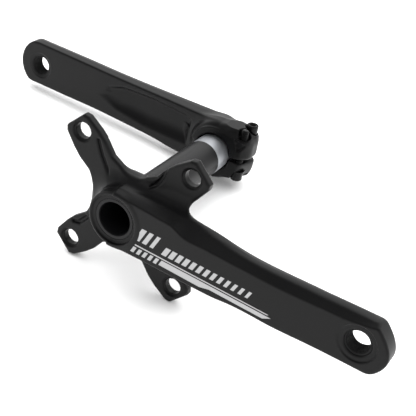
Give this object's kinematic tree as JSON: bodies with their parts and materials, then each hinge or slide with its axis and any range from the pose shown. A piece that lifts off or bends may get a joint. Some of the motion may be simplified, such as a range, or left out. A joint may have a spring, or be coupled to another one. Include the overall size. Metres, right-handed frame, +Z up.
{
  "type": "bicycle crankset",
  "caption": "Two-piece bicycle crankset: black forged arms, integral four-tab chainring spider, hollow through spindle, pinch-bolt left arm.",
  "frame": {"origin": "on the spindle axis, midway between the two bearing shoulders", "axes": "+Y along the spindle towards the left-hand arm, +X towards the drive-side pedal, +Z up with both arms level"},
  "size_m": [0.3466, 0.1536, 0.095],
  "materials": {
    "black_alloy": "satin black anodised forging with fine blasted grain",
    "spindle_steel": "black coated tube with bare ground bearing seats and splines",
    "black_bolt": "glossy black oxide",
    "black_plastic": "moulded black plastic",
    "seal_rubber": "soft black rubber",
    "silver_print": "thin silver-grey print on the black arm"
  },
  "bodies": {
    "drive_side": {"drive_arm": "black_alloy", "spindle": "spindle_steel"},
    "left_side": {"left_arm": "black_alloy"},
    "inboard_washer": {"pinch_washer_inboard": "black_bolt"},
    "inboard_bolt": {"pinch_bolt_inboard": "black_bolt"},
    "outboard_washer": {"pinch_washer_outboard": "black_bolt"},
    "outboard_bolt": {"pinch_bolt_outboard": "black_bolt"},
    "seal": {"cap_seal": "seal_rubber"},
    "cap": {"preload_cap": "black_plastic"}
  },
  "joints": [
    {"name": "left_arm_slide", "type": "slide", "parent": "drive_side", "child": "left_side", "axis": [0, 1, 0], "range_m": [0, 0.1]},
    {"name": "inboard_bolt_lift", "type": "slide", "parent": "left_side", "child": "inboard_washer", "axis": [0, 0, -1], "range_m": [0, 0.0024]},
    {"name": "inboard_bolt_turn", "type": "hinge", "parent": "inboard_washer", "child": "inboard_bolt", "pos_m": [0.0185, 0.0503, 0], "axis": [0, 0, -1], "range_deg": [0, 1080]},
    {"name": "outboard_bolt_lift", "type": "slide", "parent": "left_side", "child": "outboard_washer", "axis": [0, 0, 1], "range_m": [0, 0.0024]},
    {"name": "outboard_bolt_turn", "type": "hinge", "parent": "outboard_washer", "child": "outboard_bolt", "pos_m": [0.0185, 0.0603, 0], "axis": [0, 0, 1], "range_deg": [0, 1080]},
    {"name": "cap_travel", "type": "slide", "parent": "left_side", "child": "seal", "axis": [0, 1, 0], "range_m": [0, 0.003]},
    {"name": "cap_turn", "type": "hinge", "parent": "seal", "child": "cap", "pos_m": [0, 0.068, 0], "axis": [0, 1, 0], "range_deg": [0, 1080]}
  ],
  "couplings": [
    {"joint": "inboard_bolt_turn", "follows": "inboard_bolt_lift", "rad_per_m": 7854},
    {"joint": "outboard_bolt_turn", "follows": "outboard_bolt_lift", "rad_per_m": 7854},
    {"joint": "cap_turn", "follows": "cap_travel", "rad_per_m": 6283.2}
  ]
}
